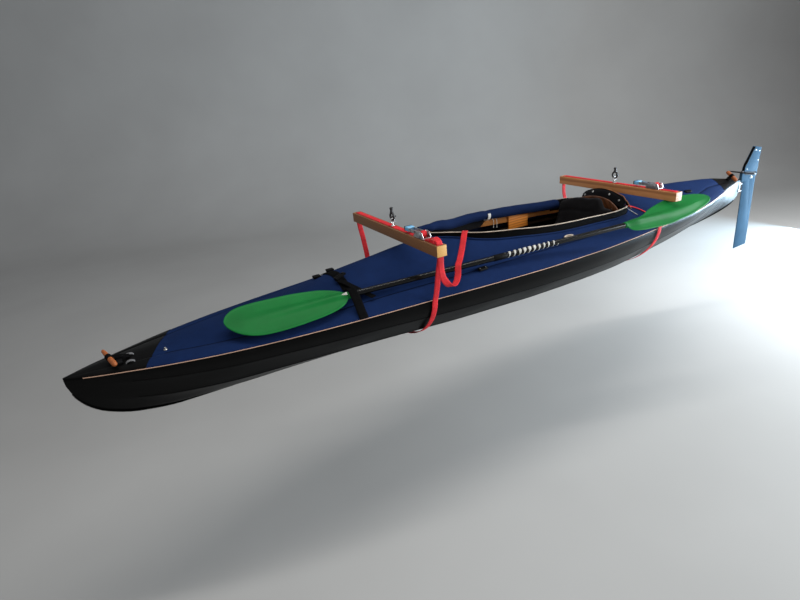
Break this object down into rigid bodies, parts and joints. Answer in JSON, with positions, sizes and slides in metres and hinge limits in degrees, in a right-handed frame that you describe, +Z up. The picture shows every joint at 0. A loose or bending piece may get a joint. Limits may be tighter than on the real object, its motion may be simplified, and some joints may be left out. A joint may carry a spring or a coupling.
{
  "type": "folding kayak",
  "caption": "Folding kayak with canvas deck, open cockpit, steering rudder and lifting blade, double-bladed paddle strapped on deck, hung in two wooden-bar webbing slings",
  "frame": {"origin": "top of the front hoist hook, on the boat's centre plane, where the hoist holds the boat", "axes": "+X to the bow, +Y to port, +Z up"},
  "size_m": [4.215, 0.8457, 0.823],
  "materials": {
    "rubber": "matt black rubberised fabric with a soft sheen",
    "canvas": "matt navy blue deck canvas",
    "piping": "pale copper piping",
    "varnished_wood": "varnished warm wood",
    "dark_wood": "dark brown varnished plywood",
    "pine": "planed unvarnished softwood",
    "black_webbing": "woven black strap",
    "red_webbing": "woven red strap",
    "green_plastic": "bright green moulded plastic",
    "black_fabric": "matt black cloth",
    "black_plastic": "smooth black",
    "rudder_paint": "blue-grey painted sheet",
    "zinc": "zinc plated steel",
    "dark_steel": "dark steel"
  },
  "bodies": {
    "kayak": {"hull_skin": "rubber", "keel_strip": "rubber", "bow_patch": "rubber", "stern_patch": "rubber", "coaming_skirt_port": "rubber", "coaming_skirt_starboard": "rubber", "foredeck": "canvas", "afterdeck": "canvas", "side_deck_port": "canvas", "side_deck_starboard": "canvas", "rolled_spray_cover": "canvas", "gunwale_piping_port": "piping", "gunwale_piping_starboard": "piping", "coaming_rail_port": "varnished_wood", "coaming_rail_starboard": "varnished_wood", "rib_front": "varnished_wood", "rib_middle": "varnished_wood", "rib_rear": "varnished_wood", "gunwale_stringer_port": "varnished_wood", "gunwale_stringer_starboard": "varnished_wood", "floorboard": "varnished_wood", "side_panel": "varnished_wood", "bow_toggle": "varnished_wood", "stern_toggle": "varnished_wood", "rear_cross_board": "dark_wood", "sling_bar_front": "pine", "sling_bar_rear": "pine", "paddle_strap": "black_webbing", "bow_toggle_loop": "black_webbing", "stern_toggle_loop": "black_webbing", "sling_strap_front": "red_webbing", "sling_strap_rear": "red_webbing", "strap_tail": "red_webbing", "paddle_blade_fore": "green_plastic", "paddle_blade_aft": "green_plastic", "rear_collar": "black_fabric", "seat_pad": "black_fabric", "paddle_shaft": "black_plastic", "paddle_strap_buckle": "black_plastic", "ratchet_front": "zinc", "ratchet_rear": "zinc", "rudder_bracket": "zinc", "hoist_eye_front": "zinc", "hoist_eye_rear": "zinc", "backrest_rod": "dark_steel", "hoist_hook_front": "dark_steel", "hoist_hook_rear": "dark_steel"},
    "rudder_head": {"rudder_head": "rudder_paint", "rudder_yoke": "dark_steel", "rudder_blade_pin": "dark_steel"},
    "rudder_blade": {"rudder_blade": "rudder_paint"},
    "backrest": {"backrest": "black_fabric"}
  },
  "joints": [
    {"name": "rudder_steering", "type": "hinge", "parent": "kayak", "child": "rudder_head", "pos_m": [-2.659, 0, -0.343], "axis": [0, 0, 1], "range_deg": [-60, 60]},
    {"name": "rudder_lift", "type": "hinge", "parent": "rudder_head", "child": "rudder_blade", "pos_m": [-2.755, 0, -0.321], "axis": [0, 1, 0], "range_deg": [0, 100]},
    {"name": "backrest_tilt", "type": "hinge", "parent": "kayak", "child": "backrest", "pos_m": [-1.214, 0, -0.247], "axis": [0, 1, 0], "range_deg": [-10, 10]}
  ]
}
